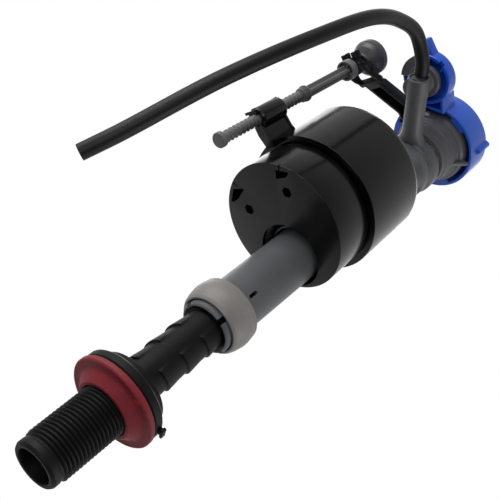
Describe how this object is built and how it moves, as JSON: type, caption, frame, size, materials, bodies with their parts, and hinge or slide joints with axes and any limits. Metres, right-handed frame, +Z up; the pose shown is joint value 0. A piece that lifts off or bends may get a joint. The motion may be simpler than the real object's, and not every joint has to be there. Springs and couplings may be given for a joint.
{
  "type": "toilet fill valve",
  "caption": "Float-operated toilet fill valve with a telescoping riser, eccentric float on a threaded rod, bayonet cap, refill adjuster and refill hose.",
  "frame": {"origin": "centre of the cap's flat top, on the valve's vertical axis", "axes": "+Z up along the valve's axis, away from the inlet; +X from the axis towards the adjustment rod; +Y towards the refill hose's side"},
  "size_m": [0.115, 0.0784, 0.29],
  "materials": {
    "shank_tube": "satin moulded black plastic",
    "shank_washer": "dull dark red rubber",
    "riser_tube": "satin mid grey plastic",
    "lock_ring": "satin pale grey plastic",
    "supply_tube": "satin mid grey plastic",
    "supply_seal": "dull black rubber",
    "neck_seal": "dull black rubber",
    "outlet_manifold": "satin mid grey plastic",
    "valve_body": "satin mid grey plastic",
    "water_seal": "soft black rubber",
    "seal_retainer": "satin mid grey plastic",
    "plunger": "satin pale plastic",
    "float_lever": "satin moulded black plastic",
    "lever_pin": "satin mid grey plastic",
    "cap": "semi-gloss royal blue plastic",
    "adjuster_knob": "semi-gloss royal blue plastic",
    "adjuster_spindle": "satin mid grey plastic",
    "spindle_seal": "dull black rubber",
    "refill_hose": "smooth flexible black tubing",
    "float_lower": "glossy black plastic",
    "float_upper": "glossy black plastic",
    "adjustment_rod": "satin pale grey plastic",
    "rod_clip": "satin moulded black plastic"
  },
  "bodies": {
    "shank": {"shank_tube": "shank_tube", "shank_washer": "shank_washer"},
    "riser": {"riser_tube": "riser_tube", "supply_tube": "supply_tube", "supply_seal": "supply_seal", "neck_seal": "neck_seal", "outlet_manifold": "outlet_manifold", "valve_body": "valve_body", "water_seal": "water_seal", "seal_retainer": "seal_retainer", "lever_pin": "lever_pin", "refill_hose": "refill_hose"},
    "lock": {"lock_ring": "lock_ring"},
    "cap": {"cap": "cap"},
    "adjuster": {"adjuster_knob": "adjuster_knob", "adjuster_spindle": "adjuster_spindle", "spindle_seal": "spindle_seal"},
    "clip": {"rod_clip": "rod_clip"},
    "rod": {"adjustment_rod": "adjustment_rod"},
    "float": {"float_upper": "float_upper", "float_lower": "float_lower"},
    "lever": {"float_lever": "float_lever"},
    "plunger": {"plunger": "plunger"}
  },
  "joints": [
    {"name": "height_adjust", "type": "slide", "parent": "shank", "child": "riser", "axis": [0, 0, 1], "range_m": [-0.02, 0.1]},
    {"name": "lock_turn", "type": "hinge", "parent": "riser", "child": "lock", "pos_m": [0, 0, -0.19], "axis": [0, 0, 1], "range_deg": [-90, 0]},
    {"name": "cap_turn", "type": "hinge", "parent": "riser", "child": "cap", "pos_m": [0, 0, -0.01], "axis": [0, 0, 1], "range_deg": [0, 45]},
    {"name": "refill_turn", "type": "hinge", "parent": "riser", "child": "adjuster", "pos_m": [0.03769, 0.02309, -0.03], "axis": [0, 0, 1], "range_deg": [-90, 0]},
    {"name": "float_rise", "type": "slide", "parent": "riser", "child": "clip", "axis": [0, 0, 1], "range_m": [0, 0.01]},
    {"name": "rod_spin", "type": "hinge", "parent": "clip", "child": "rod", "pos_m": [0.0627, 0, -0.1486], "axis": [-0.0471, 0, 0.9989], "continuous": true},
    {"name": "level_adjust", "type": "slide", "parent": "clip", "child": "float", "axis": [-0.0471, 0, 0.9989], "range_m": [-0.016, 0.013]},
    {"name": "lever_turn", "type": "hinge", "parent": "riser", "child": "lever", "pos_m": [0.0105, 0, -0.022], "axis": [0, -1, 0], "range_deg": [0, 10.3]},
    {"name": "plunger_press", "type": "slide", "parent": "riser", "child": "plunger", "axis": [0, 0, -1], "range_m": [0, 0.002]}
  ],
  "couplings": [
    {"joint": "rod_spin", "follows": "level_adjust", "rad_per_m": -2416.6},
    {"joint": "lever_turn", "follows": "float_rise", "rad_per_m": 17.7},
    {"joint": "plunger_press", "follows": "float_rise", "ratio": 0.19}
  ]
}
